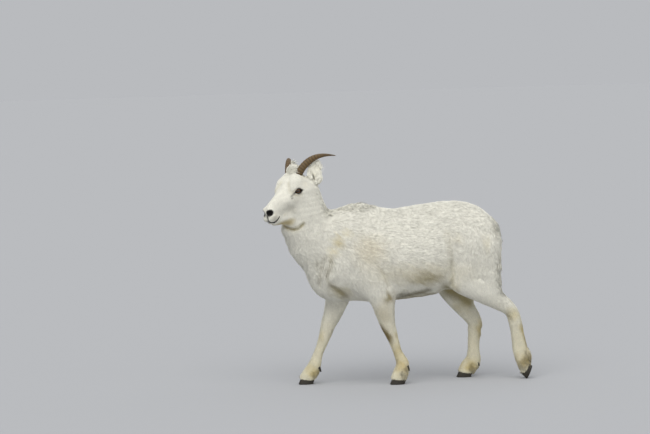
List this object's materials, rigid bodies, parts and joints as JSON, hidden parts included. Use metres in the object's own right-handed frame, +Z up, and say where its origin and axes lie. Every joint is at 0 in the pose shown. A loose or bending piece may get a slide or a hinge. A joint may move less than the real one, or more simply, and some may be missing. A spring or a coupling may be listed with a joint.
{
  "type": "dall sheep ewe",
  "caption": "Life-size walking white mountain sheep ewe in winter coat, head turned to its left, with short ridged horns swept back and out.",
  "frame": {"origin": "middle of the ewe's box, on the floor", "axes": "+Z up; the ewe walks toward -X, and its left side is toward -Y"},
  "size_m": [1.229, 0.3452, 1.0627],
  "materials": {
    "fleece": "dense dull winter hair, warm white",
    "face": "short close hair, white",
    "leg_hair": "short hair with yellow stain",
    "horn": "ringed horn, satin",
    "hoof": "worn dark horn",
    "eye": "wet gloss"
  },
  "bodies": {
    "root": {"torso": "fleece", "neck": "fleece", "head": "face", "tail": "fleece", "ear_left": "face", "ear_right": "face", "eye_left": "eye", "eye_right": "eye", "horn_left": "horn", "horn_right": "horn", "leg_front_left_upper": "fleece", "leg_front_right_upper": "fleece", "leg_hind_left_upper": "fleece", "leg_hind_right_upper": "fleece", "leg_front_left_lower": "leg_hair", "leg_front_right_lower": "leg_hair", "leg_hind_left_lower": "leg_hair", "leg_hind_right_lower": "leg_hair", "claw_front_left_inner": "hoof", "claw_front_left_outer": "hoof", "claw_front_right_inner": "hoof", "claw_front_right_outer": "hoof", "claw_hind_left_inner": "hoof", "claw_hind_left_outer": "hoof", "claw_hind_right_inner": "hoof", "claw_hind_right_outer": "hoof", "dewclaw_front_left_inner": "hoof", "dewclaw_front_left_outer": "hoof", "dewclaw_front_right_inner": "hoof", "dewclaw_front_right_outer": "hoof", "dewclaw_hind_left_inner": "hoof", "dewclaw_hind_left_outer": "hoof", "dewclaw_hind_right_inner": "hoof", "dewclaw_hind_right_outer": "hoof"}
  },
  "joints": []
}
